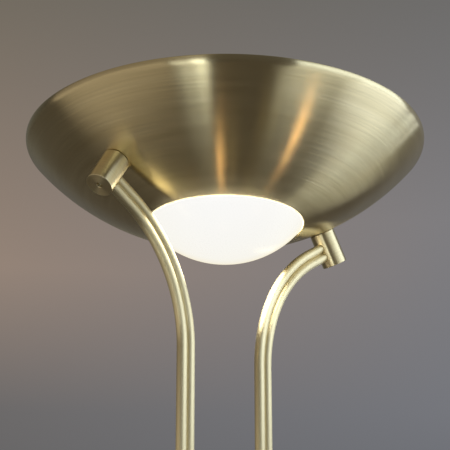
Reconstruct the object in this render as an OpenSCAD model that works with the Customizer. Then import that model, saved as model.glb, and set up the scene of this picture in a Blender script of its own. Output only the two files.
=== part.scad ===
// Floor lamp with reading light. Two twin-tube poles carry a spun uplighter bowl
// with an opal glass dome, and a hinged reading arm stands on the crosshead between them.
// Origin on the floor under the base's centre, +Z up, poles side by side along X,
// reading arm towards -Y. Millimetres.

/* [Overall] */
// Height of the lamp, floor to the top of the bowl's lip
lamp_h = 1800; // [1650:5:1900]
// Distance between the centre lines of the two poles
pole_gap = 81; // [79:1:90]

/* [Twin tubes] */
// Outer diameter of each tube of a pole
tube_d = 8; // [7.2:0.1:8.4]
// Wall of each tube
tube_wall = 0.9; // [0.7:0.1:1.1]
// Depth that the two tubes of a pair are let into each other along the brazed seam
braze_depth = 0.3; // [0.1:0.1:0.5]
// Bend radius of an upper arm, to the middle of its pair of tubes
arm_bend_r = 124; // [100:1:130]
// Outer diameter of the flex inside a tube
flex_d = 5; // [4:0.1:5.2]

/* [Uplighter bowl] */
// Diameter of the bowl at its widest
bowl_d = 320; // [310:1:336]
// Depth from the widest level down to the edge of the round opening
bowl_depth = 67; // [62:1:74]
// Diameter of the round opening in the bottom of the bowl
opening_d = 124; // [116:1:130]
// Sheet thickness of the bowl
bowl_wall = 1.2; // [0.8:0.1:1.6]
// Radius of the long arc of the bowl's wall
bowl_body_r = 205; // [192:1:225]
// Radius of the small arc that turns the wall up at the rim
bowl_rim_r = 8; // [6:0.5:12]
// Height of the turned-in lip above the widest level
lip_rise = 1.5; // [1:0.5:4]

/* [Bowl knobs] */
// Diameter of the plain round knobs that carry the bowl
knob_d = 21; // [19:0.5:24]
// Length of a knob
knob_l = 29; // [27:0.5:33]
// Angle of a knob's axis from the vertical, square to the bowl's wall
knob_slope = 32; // [30:0.5:35]
// Distance from a knob's outer face to the middle of the arm that meets its side
arm_seat_l = 13.4; // [12:0.2:15]
// Diameter of the stud through a knob
stud_d = 4; // [3:0.5:5]
// How far the stud's end lies below the knob's outer face
stud_recess = 2.5; // [1:0.5:4]
// Height of the nut on the stud
stud_nut_h = 3.2; // [2.4:0.2:4]
// Edge chamfer of the turned knobs
knob_chamfer = 0.5; // [0.3:0.1:1]

/* [Uplighter glass and lamp] */
// How far the glass dome hangs below the opening
glass_drop = 28.5; // [22:0.5:33]
// Thickness of the opal glass
glass_wall = 3; // [2:0.5:4]
// Width of the glass flange that rests inside the bowl
glass_flange_w = 5; // [4:0.5:6]
// Width of the lamp bridge
bridge_w = 30; // [26:1:34]
// Sheet thickness of the lamp bridge
bridge_t = 1.5; // [1:0.1:2]
// Level of the bridge above the edge of the opening
bridge_rise = 20; // [18:1:24]
// Length of the linear lamp between its contacts
lamp_l = 118; // [110:1:120]
// Diameter of the linear lamp's quartz tube
lamp_d = 11; // [9:0.5:12]
// Height of a ceramic lamp holder
holder_h = 24; // [22:1:28]
// Thickness of a ceramic lamp holder
holder_t = 12; // [10:1:14]

/* [Base] */
// Diameter of the base
base_d = 280; // [260:5:310]
// Height of the base cover at its centre
base_h = 36; // [34:1:42]
// Radius of the shallow dome of the cover
base_dome_r = 760; // [700:10:900]
// Radius of the cover's rounded edge
base_edge_r = 11; // [8:1:12]
// Sheet thickness of the cover
base_wall = 1.2; // [1:0.1:1.6]
// Thickness of the cast weight
weight_h = 15; // [12:1:16]
// Thickness of the pad under the weight
pad_t = 2.5; // [2:0.5:3]
// Height of the ferrules at the feet of the poles
ferrule_h = 20; // [18:1:26]
// Diameter of the ferrules
ferrule_d = 24; // [22:1:28]
// Diameter of the threaded spigot under a ferrule
spigot_d = 8; // [7:0.5:10]
// Bore of the cord gland at the back of the base
gland_bore_d = 6.5; // [6:0.5:7.5]

/* [Crosshead and dimmers] */
// Height of the crosshead's axis above the floor
cross_z = 1150; // [1050:5:1200]
// Outer diameter of the crosshead tube
cross_d = 36; // [35:0.5:40]
// Wall of the crosshead tube
cross_wall = 2; // [1.5:0.1:2.5]
// Length of each block that grips the poles
block_l = 24; // [22:1:26]
// Distance from the crosshead's axis to the bottom of a pole socket
socket_z = 8.5; // [8:0.5:9.5]
// Thickness of the end bushes
bush_t = 5; // [4:0.5:7]
// Diameter of the dimmer shafts
shaft_d = 6; // [5:0.5:7]
// Diameter of a dimmer's body
dimmer_d = 24; // [20:1:26]
// Length of a dimmer's body
dimmer_l = 14; // [12:1:15]
// Length of a dial
dial_l = 18; // [14:1:24]
// Number of flutes around a dial
dial_flutes = 32; // [24:2:40]

/* [Reading arm] */
// Outer diameter of each tube of the reading arm
arm_tube_d = 6; // [5.5:0.1:6.4]
// Wall of those tubes
arm_tube_wall = 0.8; // [0.6:0.1:1]
// Angle at which the reading arm rises from its hinge
arm_rise_a = 40; // [34:1:46]
// Angle at which its outer end drops
arm_drop_a = 40; // [34:1:46]
// Length of the rising straight stretch, from the hinge
arm_rise_l = 130; // [110:5:150]
// Length of the dropping straight stretch, to the head's hinge
arm_drop_l = 70; // [60:5:90]
// Bend radius of the reading arm
reading_bend_r = 110; // [90:5:130]
// Diameter of the two forks
fork_d = 22; // [21:0.5:25]
// Diameter of the eyes at the arm's ends
eye_d = 18; // [16:0.5:19]
// Width of the eyes
eye_w = 9; // [8:0.5:9.5]
// Diameter of the hinge pins
pin_d = 5; // [4:0.5:6]
// Thickness of the friction washers
washer_t = 0.8; // [0.6:0.1:1]
// Height of the swivel fork's base, from its foot to its hinge
post_l = 30; // [28:1:36]
// Height of the seat under the swivel fork, above the crosshead tube
seat_rise = 6; // [4:1:10]
// Diameter of the hollow swivel bolt
bolt_d = 7; // [6:0.5:7.5]

/* [Reading head] */
// Diameter of the reading shade at its widest
head_d = 110; // [100:1:124]
// Depth of the shade from its widest level to its crown
head_depth = 44; // [40:1:52]
// Sheet thickness of the shade
head_wall = 1; // [0.8:0.1:1.4]
// Radius of the long arc of the shade's wall
head_body_r = 80; // [74:1:90]
// Radius of the small arc at the shade's rim
head_rim_r = 8; // [6:0.5:10]
// Height of the shade's turned-in lip
head_lip = 2.5; // [1.5:0.5:3.5]
// Length of the head's fork below its hinge
neck_l = 27; // [25:1:34]
// Lean of the head from straight down, away from the stand
head_lean = 15; // [0:1:30]
// How far the reading glass stands out of the shade
head_glass_drop = 12; // [8:1:16]
// Thickness of the reading glass
head_glass_wall = 2.5; // [2:0.5:3]

/* [Fits] */
// Gap between pieces that rest on each other
seat_gap = 0.1; // [0.05:0.05:0.2]
// Gap between faces that move past each other
run_gap = 0.2; // [0.15:0.05:0.3]
// Radial clearance of a pin or shaft in its bore
pin_clear = 0.05; // [0.03:0.01:0.08]

/* [Hidden] */
$fn = 96;

BRASS = "#c9b37c";
STEEL = "#a9abad";
CERAMIC = "#eceae2";
OPAL = "#fbf7ea";
BLACK = "#26262a";

// Clearances, edges and overshoots that many pieces share
hole_gap = 0.2;
press_gap = 0.02;
edge = 0.4;
past = 1;

// Twin tubes
tube_r = tube_d / 2;
tube_pitch = tube_d - braze_depth;
pole_x = pole_gap / 2;
lap_l = 0.3;
lap_step = 0.02;
arm_pitch = arm_tube_d - braze_depth;

// Bowl
bowl_r = bowl_d / 2;
opening_r = opening_d / 2;
lip_a = asin(lip_rise / bowl_rim_r);
lip_top = (bowl_rim_r - bowl_wall / 2) * sin(lip_a) + bowl_wall / 2;
rim_z = lamp_h - lip_top;
bowl_c = body_centre(bowl_r, bowl_depth, opening_r, bowl_body_r, bowl_rim_r);

// Knobs: seat point on the bowl's outside, and the point where an arm meets the knob's axis
knob_dir = [sin(knob_slope), -cos(knob_slope)];
knob_at = bowl_c + bowl_body_r * knob_dir;
arm_meet = knob_at + (seat_gap + knob_l - arm_seat_l) * knob_dir;
lead_d = 3.6;
lead_play = 0.6;
lead_skin = 2.2;
lead_hole_d = lead_d + lead_play;
lead_off = knob_d / 2 - lead_hole_d / 2 - lead_skin;
lead_in = seat_gap + knob_l - arm_seat_l - tube_pitch / 2;
key_depth = 1.8;

// Upper arms
bend_a = 90 - knob_slope;
end_run = (arm_meet[0] - pole_x - arm_bend_r * (1 - cos(bend_a))) / sin(bend_a);
bend_z = rim_z + arm_meet[1] - end_run * cos(bend_a) - arm_bend_r * sin(bend_a);
arm_foot_z = cross_z + socket_z + seat_gap;

// Glass dome
dome_gap = 0.5;
dome_r = opening_r - dome_gap;
opening_z = rim_z - bowl_depth;
flange_r = dome_r + glass_flange_w;
flange_z = bowl_z(flange_r, bowl_wall) + seat_gap + rim_z;

// Parts stacked on a stud inside the bowl, measured along the knob's axis. The flat tab
// clears the curved wall at its corners, so it stands a little off the wall in the middle.
tab_half = 9;
tab_w = 14;
tab_gap = seat_gap + pow(tab_half, 2) / (2 * bowl_body_r)
    + pow(tab_w / 2, 2) * sin(knob_slope) / (2 * knob_at[0]);
tab_in = -bowl_wall - tab_gap;
stud_washer_t = 1;
stud_tip = 2;
washer_in = tab_in - bridge_t - seat_gap;
nut_in = washer_in - stud_washer_t - seat_gap;
stud_in = nut_in - stud_nut_h - stud_tip;

// Lamp bridge and lamp
window_end = 20;
window_rim = 6;
bridge_z = opening_z + bridge_rise;
bridge_neck = 12;
holder_w = 16;
shoulder_w = 2;
shoulder_h = 6;
contact_d = lamp_d - 3;
contact_gap = 0.5;
contact_l = 3;
holder_x = lamp_l / 2 - contact_l;
lamp_z = bridge_z + bridge_t + holder_h - shoulder_h - contact_l;
cap_l = 12;

// Base levels
cover_foot = 1;
weight_top = pad_t + weight_h;
base_r = base_d / 2;
dome_c = base_h - base_dome_r;
edge_c = dome_c + sqrt(pow(base_dome_r - base_edge_r, 2) - pow(base_r - base_edge_r, 2));
weight_r = base_r - base_wall - base_edge_r;
pad_inset = 3;
weight_edge = 1.5;
boss_d = 24;
boss_top = dome_c + sqrt(pow(base_dome_r - base_wall, 2) - pow(pole_x + boss_d / 2, 2))
    - seat_gap;
channel_w = 10;
ferrule_z = dome_c + sqrt(pow(base_dome_r, 2) - pow(pole_x - ferrule_d / 2, 2));
ferrule_top = ferrule_z + ferrule_h;
ferrule_socket = 14;
ferrule_skirt = 4;
spigot_bore_d = spigot_d - 3;
pole_foot_z = ferrule_top - ferrule_socket + seat_gap;
nut_pocket_h = 8;
base_nut_w = spigot_d + 5;
base_nut_h = 6;
base_washer_d = spigot_d + 9;
base_washer_t = 1.2;
nut_pocket_d = base_washer_d + 5;
spigot_foot = pad_t + 0.6;
gland_z = 8;
gland_neck_d = gland_bore_d + 3;
gland_head_d = gland_bore_d + 6;
gland_head_t = 2;
gland_l = 6;

// Crosshead
cross_r = cross_d / 2;
cross_bore = cross_d - 2 * cross_wall;
block_d = cross_bore - 4 * seat_gap;
block_in = pole_x - block_l / 2;
block_out = pole_x + block_l / 2;
cross_half = block_out + 2 * seat_gap + bush_t;
screw_d = 4;
screw_z = socket_z + screw_d;
screw_key_d = 2.3;
neck_d = shaft_d + 3;
neck_out = 9;
shaft_grip = 8;
shaft_in = block_in - shaft_grip;
dial_in = cross_half + run_gap;
dial_floor = 6;
shaft_out = dial_in + dial_l - dial_floor;

// Hinges: a fork holds an eye, with a friction washer on each side of it
slot_w = eye_w + 2 * washer_t + 4 * run_gap;
slot_floor = eye_d / 2 + 3 * run_gap;
ear_top = fork_d / 2;
ear_round = 4;
pin_head_d = pin_d + 3;
pin_head_t = 1.6;
pin_half = fork_d / 2 - 0.4;
seat_top = cross_z + cross_r + seat_rise;
swivel_washer_t = 1;
fork_foot = seat_top + swivel_washer_t + 2 * run_gap;
hinge_z = fork_foot + post_l;
swivel_nut_h = 4;
swivel_nut_d = slot_w - 4 * run_gap;
bolt_tip = 1;
nut_floor = hinge_z - slot_floor - swivel_nut_h - bolt_tip - 2 * run_gap;
bolt_head_t = 4;
bolt_head_d = bolt_d + 7;
bolt_bore_d = bolt_d - 3;

// Reading arm: where its outer eye lies, measured from the hinge, forward and up
reach = arm_rise_l * cos(arm_rise_a) + arm_drop_l * cos(arm_drop_a)
    + reading_bend_r * (sin(arm_rise_a) + sin(arm_drop_a));
lift = arm_rise_l * sin(arm_rise_a) - arm_drop_l * sin(arm_drop_a)
    + reading_bend_r * (cos(arm_drop_a) - cos(arm_rise_a));

// Reading head, drawn mouth down below its hinge
head_r = head_d / 2;
head_crown_r = 9;
head_z = neck_l + seat_gap + head_depth;
head_c = body_centre(head_r, head_depth, head_crown_r, head_body_r, head_rim_r);
head_screw_d = 4;
screw_grip = 8;
screw_head_d = 7.5;
screw_head_t = 2.4;
glass_r = head_r - 8;
glass_rim_w = 2;
glass_rim_t = 2.5;
glass_neck = 1.6;
glass_gap = 0.3;
bezel_foot = 1.4;
bezel_step = glass_neck - 2 * seat_gap;
bezel_top = bezel_step + glass_rim_t + 3 * seat_gap;
bezel_r = head_r - head_rim_r + sqrt(pow(head_rim_r - head_wall, 2) - pow(bezel_top, 2))
    - seat_gap;
bracket_r = 20;
bracket_t = 1.2;
bracket_z = neck_l + 2 * seat_gap + shade_top_inner(bracket_r);
cheek_w = 10;
cheek_l = 8;
socket_d = 17;
socket_l = 18;
socket_bore_d = 10.4;
socket_bore_l = 6;
socket_top = bracket_z + bracket_t + screw_head_t + 2 * seat_gap;
capsule_d = 13;
capsule_l = 20;

// Centre of a bowl's long arc, in radius and height. The arc passes through the edge of the
// opening and runs tangent into the rim arc, whose own centre is on the widest level.
function body_centre(r, depth, open_r, body_r, rim_r) =
    let (dx = r - rim_r - open_r,
         dz = depth,
         d = norm([dx, dz]),
         a = (pow(body_r, 2) - pow(body_r - rim_r, 2) + d * d) / (2 * d),
         h = sqrt(pow(body_r, 2) - a * a))
    [open_r + (a * dx - h * dz) / d, -depth + (a * dz + h * dx) / d];

// Height of the bowl's wall at a radius, below the widest level, a given depth into the sheet
function bowl_z(r, inset) =
    bowl_c[1] - sqrt(pow(bowl_body_r - inset, 2) - pow(r - bowl_c[0], 2));

// Distance from the shade's crown down to the inside of its wall at a radius
function shade_top_inner(r) =
    head_depth + head_c[1] - sqrt(pow(head_body_r - head_wall, 2) - pow(r - head_c[0], 2));

// Band between two arcs about one centre
module arc_band(c, r, wall, a0, a1) {
    far = 2 * r;
    mid = (a0 + a1) / 2;
    translate(c)
        intersection() {
            difference() {
                circle(r);
                circle(r - wall);
            }
            polygon([[0, 0], far * [cos(a0), sin(a0)], far * [cos(mid), sin(mid)],
                far * [cos(a1), sin(a1)]]);
        }
}

// Wall of a spun bowl in section: long arc, rim arc and a rounded edge on the lip
module spun_wall(r, depth, open_r, wall, body_r, rim_r, lip) {
    c = body_centre(r, depth, open_r, body_r, rim_r);
    rim_c = [r - rim_r, 0];
    open_a = atan2(-depth - c[1], open_r - c[0]);
    join_a = atan2(-c[1], rim_c[0] - c[0]);
    end_a = asin(lip / rim_r);
    blend = 0.1;
    arc_band(c, body_r, wall, open_a, join_a + blend);
    arc_band(rim_c, rim_r, wall, join_a, end_a);
    translate(rim_c + (rim_r - wall / 2) * [cos(end_a), sin(end_a)])
        circle(wall / 2);
}

// Outline of a pair of rods side by side along X, or of the one at -X
module pair_outline(d, pitch, single = false) {
    translate([-pitch / 2, 0])
        circle(d = d);
    if (!single)
        translate([pitch / 2, 0])
            circle(d = d);
}

// Sweeps a pair of rods up +Z, round a bend towards +X and on in a straight line.
// The straight stretches are a hair thicker and lap over the ends of the bend.
module bent_pair(d, pitch, run_in, bend_r, angle, run_out, single = false) {
    run_d = d + 2 * lap_step;
    linear_extrude(run_in + lap_l)
        pair_outline(run_d, pitch, single);
    translate([bend_r, 0, run_in])
        rotate([90, 0, 0])
            mirror([1, 0, 0])
                rotate_extrude(angle = angle)
                    translate([bend_r, 0])
                        mirror([1, 0])
                            pair_outline(d, pitch, single);
    translate([bend_r, 0, run_in])
        rotate([0, angle, 0])
            translate([-bend_r, 0, -lap_l])
                linear_extrude(run_out + lap_l)
                    pair_outline(run_d, pitch, single);
}

// Bent pair of tubes: rods with their bores taken out
module bent_tubes(d, wall, pitch, run_in, bend_r, angle, run_out) {
    difference() {
        bent_pair(d, pitch, run_in, bend_r, angle, run_out);
        translate([0, 0, -past])
            bent_pair(d - 2 * wall, pitch, run_in + past, bend_r, angle, run_out + past);
    }
}

// Turned rod on +Z with a rounded top edge
module turned_rod(d, h, edge) {
    rotate_extrude() {
        square([d / 2 - edge, h]);
        square([d / 2, h - edge]);
        translate([d / 2 - edge, h - edge])
            intersection() {
                circle(edge);
                square(edge);
            }
    }
}

// Cylinder on +Z with both edges chamfered
module chamfered(d, h, c) {
    rotate_extrude()
        polygon([[0, 0], [d / 2 - c, 0], [d / 2, c], [d / 2, h - c], [d / 2 - c, h], [0, h]]);
}

// Washer or collar on +Z
module ring(d, bore, h) {
    difference() {
        cylinder(d = d, h = h);
        translate([0, 0, -past])
            cylinder(d = bore, h = h + 2 * past);
    }
}

// Hexagonal nut on +Z, by its width across flats
module hex_nut(flats, bore, h) {
    difference() {
        cylinder(d = flats / cos(30), h = h, $fn = 6);
        translate([0, 0, -past])
            cylinder(d = bore, h = h + 2 * past);
    }
}

// Moves to the left pole's side when side is -1
module on_side(side) {
    if (side < 0)
        mirror([1, 0, 0])
            children();
    else
        children();
}

// Places +Z along a knob's axis, outwards from the bowl's outside at the right-hand knob
module at_knob() {
    translate([knob_at[0], 0, rim_z + knob_at[1]])
        rotate([0, 180 - knob_slope, 0])
            children();
}

// Base

module base_pad() {
    color(BLACK)
        cylinder(r = weight_r - pad_inset, h = pad_t);
}

module base_weight() {
    color("#3a3a3c")
        difference() {
            union() {
                translate([0, 0, pad_t])
                    chamfered(2 * weight_r, weight_h, weight_edge);
                for (s = [-1, 1])
                    translate([s * pole_x, 0, weight_top - past])
                        cylinder(d = boss_d, h = boss_top - weight_top + past);
            }
            for (s = [-1, 1])
                translate([s * pole_x, 0, 0]) {
                    cylinder(d = spigot_d + 4 * hole_gap, h = base_h);
                    cylinder(d = nut_pocket_d, h = pad_t + nut_pocket_h);
                }
            translate([-channel_w / 2, 0, 0])
                cube([channel_w, base_r, gland_z + channel_w / 2]);
            translate([-pole_x, -channel_w / 2, 0])
                cube([pole_gap, channel_w, pad_t + nut_pocket_h]);
        }
}

// Section of the cover's outline, drawn in by a distance
module cover_outline(inset) {
    edge = base_edge_r - inset;
    join_x = (base_r - base_edge_r) * base_dome_r / (base_dome_r - base_edge_r);
    square([base_r - inset, edge_c]);
    intersection() {
        translate([0, dome_c])
            circle(base_dome_r - inset, $fn = 720);
        square([join_x, base_h]);
    }
    translate([base_r - base_edge_r, edge_c])
        circle(edge);
}

module base_cover() {
    color(BRASS)
        difference() {
            rotate_extrude()
                difference() {
                    cover_outline(0);
                    cover_outline(base_wall);
                    translate([-past, -past])
                        square([base_r + 2 * past, cover_foot + past]);
                }
            for (s = [-1, 1])
                translate([s * pole_x, 0, 0])
                    cylinder(d = spigot_d + 2 * hole_gap, h = 2 * base_h);
            translate([0, base_r - base_edge_r, gland_z])
                rotate([-90, 0, 0])
                    cylinder(d = gland_neck_d + 2 * hole_gap, h = 2 * base_edge_r);
        }
}

// Bushing for the cord's way out, at the back of the base
module cord_gland() {
    color(BLACK)
        translate([0, base_r, gland_z])
            rotate([90, 0, 0])
                difference() {
                    union() {
                        mirror([0, 0, 1])
                            translate([0, 0, seat_gap])
                                turned_rod(gland_head_d, gland_head_t, edge);
                        translate([0, 0, -past])
                            cylinder(d = gland_neck_d, h = gland_l + past);
                    }
                    translate([0, 0, -gland_l])
                        cylinder(d = gland_bore_d, h = 3 * gland_l);
                }
}

module foot_ferrule(side) {
    color(BRASS)
        on_side(side)
            difference() {
                union() {
                    translate([pole_x, 0, spigot_foot])
                        cylinder(d = spigot_d, h = ferrule_top - spigot_foot - ferrule_socket);
                    difference() {
                        translate([pole_x, 0, ferrule_z - ferrule_skirt])
                            turned_rod(ferrule_d, ferrule_h + ferrule_skirt, 1);
                        rotate_extrude()
                            intersection() {
                                translate([0, dome_c])
                                    circle(base_dome_r + seat_gap, $fn = 720);
                                translate([pole_x - ferrule_d, 0])
                                    square([2 * ferrule_d, 2 * base_h]);
                            }
                    }
                }
                translate([pole_x, 0, ferrule_top - ferrule_socket])
                    linear_extrude(ferrule_socket + past)
                        pair_outline(tube_d + 2 * seat_gap, tube_pitch);
                translate([pole_x, 0, 0])
                    cylinder(d = spigot_bore_d, h = ferrule_top);
            }
}

module base_washers() {
    color(STEEL)
        for (s = [-1, 1])
            translate([s * pole_x, 0, pad_t + nut_pocket_h - base_washer_t])
                ring(base_washer_d, spigot_d + 2 * hole_gap, base_washer_t);
}

module base_nuts() {
    color(STEEL)
        for (s = [-1, 1])
            translate([s * pole_x, 0, pad_t + nut_pocket_h - base_washer_t - base_nut_h - seat_gap])
                hex_nut(base_nut_w, spigot_d + 2 * pin_clear, base_nut_h);
}

// Poles and arms

module lower_pole(side) {
    pole_top = cross_z - socket_z - seat_gap;
    color(BRASS)
        translate([side * pole_x, 0, pole_foot_z])
            linear_extrude(pole_top - pole_foot_z)
                difference() {
                    pair_outline(tube_d, tube_pitch);
                    pair_outline(tube_d - 2 * tube_wall, tube_pitch);
                }
}

// An upper arm ends in a saddle that fits the side of the knob
module upper_arm(side) {
    color(BRASS)
        on_side(side)
            difference() {
                translate([pole_x, 0, arm_foot_z])
                    bent_tubes(tube_d, tube_wall, tube_pitch, bend_z - arm_foot_z,
                        arm_bend_r, bend_a, end_run);
                at_knob()
                    cylinder(d = knob_d + 2 * seat_gap, h = knob_l + 2 * seat_gap);
            }
}

// Flex inside the tube of each arm that reaches the knob nearest the bowl. It ends in the
// knob, at the side of the lead that goes on into the bowl.
module arm_leads() {
    color(BLACK)
        for (s = [-1, 1])
            on_side(s)
                difference() {
                    translate([pole_x, 0, arm_foot_z])
                        bent_pair(flex_d, tube_pitch, bend_z - arm_foot_z, arm_bend_r,
                            bend_a, end_run, single = true);
                    at_knob()
                        cylinder(r = lead_off + lead_d / 2 + seat_gap, h = knob_l + past);
                }
}

// Crosshead

module pole_sockets(gap) {
    for (s = [0, 180])
        rotate([s, 0, 0])
            translate([0, 0, socket_z])
                linear_extrude(cross_d)
                    pair_outline(tube_d + 2 * gap, tube_pitch);
}

module set_screw_holes(d) {
    for (s = [-1, 1])
        translate([0, 0, s * screw_z])
            rotate([-90, 0, 0])
                cylinder(d = d, h = cross_d);
}

module crosshead_tube() {
    color(BRASS)
        translate([0, 0, cross_z])
            difference() {
                translate([-cross_half, 0, 0])
                    rotate([0, 90, 0])
                        cylinder(d = cross_d, h = 2 * cross_half);
                translate([-cross_half - past, 0, 0])
                    rotate([0, 90, 0])
                        cylinder(d = cross_bore, h = 2 * (cross_half + past));
                for (s = [-1, 1])
                    translate([s * pole_x, 0, 0]) {
                        pole_sockets(2 * seat_gap);
                        set_screw_holes(screw_d + 2 * hole_gap);
                    }
                cylinder(d = bolt_d + 2 * hole_gap, h = cross_d);
            }
}

// Block that both lengths of one pole plug into
module pole_block(side) {
    color(STEEL)
        translate([side * pole_x, 0, cross_z])
            difference() {
                translate([-block_l / 2, 0, 0])
                    rotate([0, 90, 0])
                        cylinder(d = block_d, h = block_l);
                translate([-block_l, 0, 0])
                    rotate([0, 90, 0])
                        cylinder(d = neck_d + 2 * hole_gap, h = 2 * block_l);
                pole_sockets(seat_gap);
                set_screw_holes(screw_d + 2 * pin_clear);
            }
}

module pole_set_screws() {
    tip = tube_r + seat_gap;
    reach_y = sqrt(pow(cross_r, 2) - pow(screw_z + screw_d / 2, 2));
    color(STEEL)
        for (s = [-1, 1], t = [-1, 1])
            translate([s * pole_x, 0, cross_z + t * screw_z])
                rotate([-90, 0, 0])
                    translate([0, 0, tip])
                        difference() {
                            cylinder(d = screw_d, h = reach_y - tip);
                            translate([0, 0, reach_y - tip - key_depth])
                                cylinder(d = screw_key_d, h = key_depth + past, $fn = 6);
                        }
}

// Dimmer body and threaded neck, along +X, with a bore for its shaft
module dimmer(side) {
    color(BLACK)
        on_side(side)
            translate([0, 0, cross_z])
                rotate([0, 90, 0])
                    difference() {
                        union() {
                            translate([0, 0, block_in - seat_gap - dimmer_l])
                                chamfered(dimmer_d, dimmer_l, edge);
                            translate([0, 0, block_in - past])
                                cylinder(d = neck_d, h = neck_out + past);
                        }
                        translate([0, 0, shaft_in - run_gap])
                            cylinder(d = shaft_d + 2 * pin_clear, h = shaft_out);
                    }
}

module end_bush(side) {
    color(BLACK)
        on_side(side)
            translate([block_out + seat_gap, 0, cross_z])
                rotate([0, 90, 0])
                    ring(cross_bore - 2 * seat_gap, shaft_d + 2 * pin_clear, bush_t);
}

module dimmer_shaft(side) {
    color(STEEL)
        on_side(side)
            translate([shaft_in, 0, cross_z])
                rotate([0, 90, 0])
                    chamfered(shaft_d, shaft_out - shaft_in, edge);
}

// Fluted dial with a rounded outer edge and a pointer groove
module dial(side) {
    flute_d = 2.4;
    flute_from = 3;
    round_r = 2;
    pointer_w = 1.2;
    pointer_depth = 0.7;
    pointer_in = 8;
    color(BRASS)
        on_side(side)
            translate([dial_in, 0, cross_z])
                rotate([0, 90, 0])
                    difference() {
                        turned_rod(cross_d, dial_l, round_r);
                        for (i = [0 : dial_flutes - 1])
                            rotate([0, 0, (i + 0.5) * 360 / dial_flutes])
                                translate([cross_r + edge, 0, flute_from])
                                    cylinder(d = flute_d, h = dial_l);
                        translate([0, 0, -past])
                            cylinder(d = shaft_d + 2 * press_gap,
                                h = dial_l - dial_floor + seat_gap + past);
                        translate([-cross_r, -pointer_w / 2, dial_l - pointer_depth])
                            cube([cross_r - pointer_in, pointer_w, past]);
                    }
}

// Uplighter

module bowl_knob(side) {
    color(BRASS)
        on_side(side)
            at_knob()
                difference() {
                    translate([0, 0, seat_gap])
                        chamfered(knob_d, knob_l, knob_chamfer);
                    translate([0, 0, -past])
                        cylinder(d = stud_d + 2 * pin_clear, h = knob_l + 3 * past);
                    translate([lead_off, 0, -past])
                        cylinder(d = lead_hole_d, h = lead_in + flex_d / 2 + past);
                    translate([lead_off, 0, lead_in])
                        rotate([0, 90, 0])
                            cylinder(d = flex_d + 2 * hole_gap, h = knob_d);
                }
}

module knob_studs() {
    color(STEEL)
        for (s = [-1, 1])
            on_side(s)
                at_knob()
                    difference() {
                        translate([0, 0, stud_in])
                            chamfered(stud_d, seat_gap + knob_l - stud_recess - stud_in, edge);
                        translate([0, 0, seat_gap + knob_l - stud_recess - key_depth])
                            cylinder(d = stud_d / 2, h = key_depth + past, $fn = 6);
                    }
}

module knob_washers() {
    color(STEEL)
        for (s = [-1, 1])
            on_side(s)
                at_knob()
                    translate([0, 0, washer_in - stud_washer_t])
                        ring(2 * stud_d, stud_d + 2 * hole_gap, stud_washer_t);
}

module knob_nuts() {
    color(STEEL)
        for (s = [-1, 1])
            on_side(s)
                at_knob()
                    translate([0, 0, nut_in - stud_nut_h])
                        hex_nut(stud_d + 3, stud_d + 2 * pin_clear, stud_nut_h);
}

module uplight_bowl() {
    color(BRASS)
        difference() {
            translate([0, 0, rim_z])
                rotate_extrude()
                    spun_wall(bowl_r, bowl_depth, opening_r, bowl_wall, bowl_body_r,
                        bowl_rim_r, lip_rise);
            for (s = [-1, 1])
                on_side(s)
                    at_knob() {
                        translate([0, 0, -5 * bowl_wall])
                            cylinder(d = stud_d + 2 * hole_gap, h = 10 * bowl_wall);
                        translate([lead_off, 0, -5 * bowl_wall])
                            cylinder(d = lead_hole_d, h = 10 * bowl_wall);
                    }
        }
}

// Opal dome: a flange that rests in the bowl, a short neck and a cap below the opening
module opal_dome(r, drop, wall, neck, flange_r, flange_t) {
    cap_r = (r * r + drop * drop) / (2 * drop);
    rotate_extrude()
        difference() {
            union() {
                intersection() {
                    translate([0, cap_r - drop])
                        circle(cap_r, $fn = 180);
                    translate([0, -drop])
                        square([r, drop]);
                }
                square([r, neck + flange_t]);
                translate([0, neck])
                    square([flange_r, flange_t]);
            }
            intersection() {
                translate([0, cap_r - drop])
                    circle(cap_r - wall, $fn = 180);
                translate([0, -drop])
                    square([r - wall, drop + lap_step]);
            }
            square([r - wall, neck + flange_t + past]);
        }
}

module uplight_glass() {
    color(OPAL)
        translate([0, 0, opening_z])
            opal_dome(dome_r, glass_drop, glass_wall, flange_z - opening_z, flange_r,
                glass_wall);
}

// Spring clips on the bowl's inside, each with a finger over the glass flange
module glass_clips() {
    clip_t = 1;
    clip_w = 8;
    finger = flange_z + glass_wall + seat_gap;
    finger_in = dome_r - 1;
    finger_out = flange_r + 4;
    foot_in = finger_out + 4;
    foot_out = foot_in + 12;
    z_in = rim_z + bowl_z(foot_in, bowl_wall) + seat_gap;
    z_out = rim_z + bowl_z(foot_out, bowl_wall) + seat_gap;
    color(STEEL)
        for (a = [90, 210, 330])
            rotate([0, 0, a])
                rotate([90, 0, 0])
                    translate([0, 0, -clip_w / 2])
                        linear_extrude(clip_w)
                            polygon([[finger_in, finger], [finger_out, finger], [foot_in, z_in],
                                [foot_out, z_out], [foot_out, z_out + clip_t],
                                [foot_in, z_in + clip_t], [finger_out, finger + clip_t],
                                [finger_in, finger + clip_t]]);
}

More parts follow.
